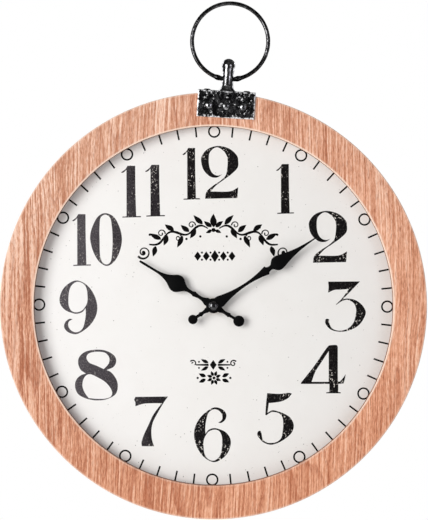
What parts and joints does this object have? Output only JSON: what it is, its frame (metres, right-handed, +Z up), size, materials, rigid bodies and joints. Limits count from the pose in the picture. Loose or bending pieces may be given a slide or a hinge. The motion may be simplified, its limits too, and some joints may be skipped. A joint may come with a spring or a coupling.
{
  "type": "wall clock",
  "caption": "Round wooden wall clock in the style of a pocket watch: printed dial, spade hands, quartz movement, iron bracket with a turned post and a swinging ring.",
  "frame": {"origin": "axis of the wall screw in the keyhole hanger, on the wall plane", "axes": "+Y from the clock into the wall (the dial looks along -Y), +Z up, +X to the right as seen from the front"},
  "size_m": [0.406, 0.0468, 0.4939],
  "materials": {
    "face_wood": "sawn oak veneer with vertical grain, matt varnish",
    "rim_wood": "fibreboard rim, veneered outside",
    "board": "brown fibreboard",
    "dial_sheet": "printed cream sheet, matt",
    "black_iron": "hammered black paint over iron, worn at the edges",
    "zinc_steel": "zinc plated",
    "stator_steel": "soft magnetic sheet",
    "arbor_steel": "turned steel",
    "black_plastic": "fine eroded texture",
    "white_plastic": "moulded acetal",
    "brass": "turned",
    "rubber": "soft washer",
    "copper": "enamelled copper wire",
    "circuit_board": "green solder mask",
    "epoxy": "black resin drop",
    "magnet": "sintered magnet",
    "hand_black": "satin black enamel",
    "cell_sleeve": "plain blue sleeve"
  },
  "bodies": {
    "case": {"frame_face_ring": "face_wood", "frame_rim_ring": "rim_wood", "dial_board": "board", "dial_paper": "dial_sheet", "hanger_plate": "zinc_steel", "hanger_screw_left": "zinc_steel", "hanger_screw_right": "zinc_steel", "bracket_strap": "black_iron", "bracket_rivet_left": "black_iron", "bracket_rivet_centre": "black_iron", "bracket_rivet_right": "black_iron", "ring_post": "black_iron", "strap_screw_left": "black_iron", "strap_screw_right": "black_iron", "movement_front_cover": "black_plastic", "movement_rear_cover": "black_plastic", "middle_plate": "white_plastic", "threaded_bush": "brass", "rubber_washer": "rubber", "dial_washer": "brass", "dial_nut": "brass", "stator_plate": "stator_steel", "coil_core": "stator_steel", "coil_bobbin": "white_plastic", "coil_winding": "copper", "circuit_board": "circuit_board", "chip_cover": "epoxy", "quartz_crystal": "zinc_steel", "positive_contact": "zinc_steel", "negative_spring": "zinc_steel", "board_screw_1": "zinc_steel", "board_screw_2": "zinc_steel", "board_screw_3": "zinc_steel", "board_screw_4": "zinc_steel", "board_screw_5": "zinc_steel", "board_screw_6": "zinc_steel"},
    "ring": {"hanging_ring": "black_iron"},
    "minute": {"minute_arbor": "arbor_steel", "centre_wheel": "white_plastic", "minute_hand": "hand_black", "minute_hand_bush": "hand_black", "cap_nut": "hand_black"},
    "hour": {"hour_wheel": "white_plastic", "hour_hand": "hand_black", "hour_hand_bush": "hand_black"},
    "minute_works": {"minute_wheel": "white_plastic"},
    "setting": {"setting_knob": "black_plastic", "setting_pinion": "white_plastic"},
    "third": {"third_wheel": "white_plastic"},
    "seconds": {"seconds_wheel": "white_plastic"},
    "fifth": {"fifth_wheel": "white_plastic"},
    "rotor": {"rotor_pinion": "white_plastic", "rotor_magnet": "magnet"},
    "battery": {"battery_cell": "cell_sleeve"}
  },
  "joints": [
    {"name": "minute_turn", "type": "hinge", "parent": "case", "child": "minute", "pos_m": [0, -0.037, -0.1965], "axis": [0, 1, 0], "continuous": true},
    {"name": "hour_turn", "type": "hinge", "parent": "case", "child": "hour", "pos_m": [0, -0.035, -0.1965], "axis": [0, 1, 0], "continuous": true},
    {"name": "minute_wheel_turn", "type": "hinge", "parent": "case", "child": "minute_works", "pos_m": [-0.00866, -0.0167, -0.1915], "axis": [0, 1, 0], "continuous": true},
    {"name": "setting_turn", "type": "hinge", "parent": "case", "child": "setting", "pos_m": [-0.01832, -0.0036, -0.18891], "axis": [0, 1, 0], "continuous": true},
    {"name": "third_turn", "type": "hinge", "parent": "case", "child": "third", "pos_m": [0.00779, -0.0132, -0.192], "axis": [0, 1, 0], "continuous": true},
    {"name": "seconds_turn", "type": "hinge", "parent": "case", "child": "seconds", "pos_m": [0, -0.012, -0.1965], "axis": [0, 1, 0], "continuous": true},
    {"name": "fifth_turn", "type": "hinge", "parent": "case", "child": "fifth", "pos_m": [0.00699, -0.0108, -0.20177], "axis": [0, 1, 0], "continuous": true},
    {"name": "rotor_turn", "type": "hinge", "parent": "case", "child": "rotor", "pos_m": [0.01233, -0.0089, -0.20097], "axis": [0, 1, 0], "continuous": true},
    {"name": "ring_swing", "type": "hinge", "parent": "case", "child": "ring", "pos_m": [0.01362, -0.024, 0.01999], "axis": [0.998, 0, -0.0628], "range_deg": [-105, 105]},
    {"name": "battery_slide", "type": "slide", "parent": "case", "child": "battery", "axis": [0, 1, 0], "range_m": [0, 0.02]}
  ],
  "couplings": [
    {"joint": "hour_turn", "follows": "minute_turn", "ratio": 0.083333},
    {"joint": "minute_wheel_turn", "follows": "minute_turn", "ratio": -0.33333},
    {"joint": "setting_turn", "follows": "minute_turn", "ratio": 1},
    {"joint": "third_turn", "follows": "minute_turn", "ratio": -8},
    {"joint": "seconds_turn", "follows": "minute_turn", "ratio": 60},
    {"joint": "fifth_turn", "follows": "minute_turn", "ratio": -360},
    {"joint": "rotor_turn", "follows": "minute_turn", "ratio": 1800}
  ]
}
